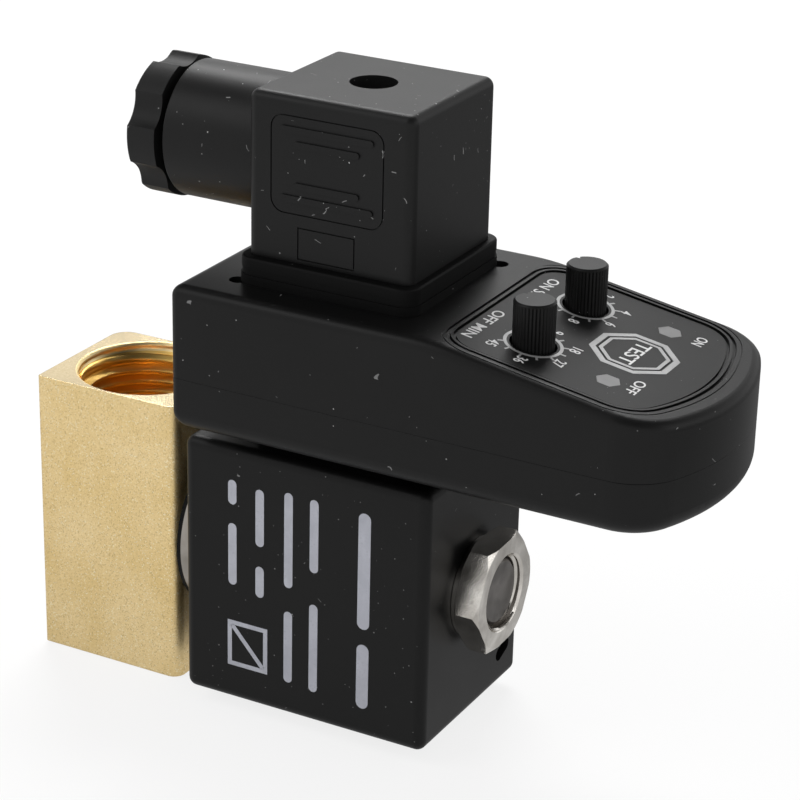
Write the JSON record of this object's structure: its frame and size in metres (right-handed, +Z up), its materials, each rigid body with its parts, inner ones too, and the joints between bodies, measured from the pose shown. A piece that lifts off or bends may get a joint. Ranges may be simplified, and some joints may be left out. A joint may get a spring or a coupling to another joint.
{
  "type": "timed solenoid drain valve",
  "caption": "Timed condensate drain: brass block valve with vertical threaded ports, side-mounted solenoid coil, plug-on timer with two dials, and a square cable connector.",
  "frame": {"origin": "centre of the lower port's mouth, on the brass body's bottom face", "axes": "+Z up along the port axis; +X from the brass body along the armature tube to the coil nut"},
  "size_m": [0.114, 0.0414, 0.1012],
  "materials": {
    "brass": "fine blasted brass",
    "stainless": "turned stainless steel",
    "nickel": "bright nickel plate",
    "steel": "bare magnetic steel",
    "copper": "enamelled copper",
    "rubber": "black rubber",
    "black_plastic": "moulded black plastic, satin, dusty",
    "spool_plastic": "natural nylon",
    "label": "printed overlay, satin charcoal",
    "window": "smoked light window",
    "board": "glass-fibre circuit board",
    "component": "electronic component",
    "plated": "tinned contact metal"
  },
  "bodies": {
    "valve": {"valve_body": "brass", "tube_seal": "rubber", "armature_tube": "stainless", "fixed_core": "steel", "shading_ring": "copper", "coil_washer": "rubber", "coil_plate": "steel", "nut_washer": "nickel", "coil_nut": "nickel", "plunger_spring": "stainless"},
    "armature": {"plunger": "steel", "plunger_seal": "rubber"},
    "coil": {"coil_case": "black_plastic", "coil_bobbin": "spool_plastic", "coil_winding": "copper", "coil_yoke": "steel", "coil_terminals": "plated", "terminal_nut": "plated", "timer_seal": "rubber", "timer_base": "black_plastic", "timer_housing": "black_plastic", "base_screws": "plated", "circuit_board": "board", "timer_sockets": "plated", "timer_pins": "plated", "relay": "component", "capacitor": "component", "test_switch": "component", "timer_lamps": "window", "off_time_pot": "component", "on_time_pot": "component", "panel_label": "label", "on_window": "window", "off_window": "window", "plug_gasket": "rubber", "plug_housing": "black_plastic", "plug_insert": "black_plastic", "plug_contacts": "plated", "clamp_screws": "plated", "fixing_screw": "plated", "gland_grommet": "rubber", "gland_washer": "black_plastic"},
    "off_dial": {"off_time_knob": "black_plastic", "off_time_shaft": "plated"},
    "on_dial": {"on_time_knob": "black_plastic", "on_time_shaft": "plated"},
    "test": {"test_button": "label"},
    "gland": {"gland_nut": "black_plastic"}
  },
  "joints": [
    {"name": "armature_lift", "type": "slide", "parent": "valve", "child": "armature", "axis": [1, 0, 0], "range_m": [0, 0.0025], "stiffness_N_per_m": 150, "springref_m": -0.01, "deforming": ["plunger_spring"]},
    {"name": "coil_swivel", "type": "hinge", "parent": "valve", "child": "coil", "pos_m": [0.04, 0, 0.0241], "axis": [1, 0, 0], "continuous": true},
    {"name": "off_time_turn", "type": "hinge", "parent": "coil", "child": "off_dial", "pos_m": [0.07215, -0.0088, 0.0765], "axis": [0, 0, -1], "range_deg": [0, 290]},
    {"name": "on_time_turn", "type": "hinge", "parent": "coil", "child": "on_dial", "pos_m": [0.07215, 0.0088, 0.0765], "axis": [0, 0, -1], "range_deg": [0, 290]},
    {"name": "test_press", "type": "slide", "parent": "coil", "child": "test", "axis": [-0.165, 0, -0.9863], "range_m": [0, 0.0005], "stiffness_N_per_m": 3000, "springref_m": -0.0003},
    {"name": "gland_turn", "type": "hinge", "parent": "coil", "child": "gland", "pos_m": [0.004, 0, 0.0894], "axis": [1, 0, 0], "continuous": true}
  ]
}
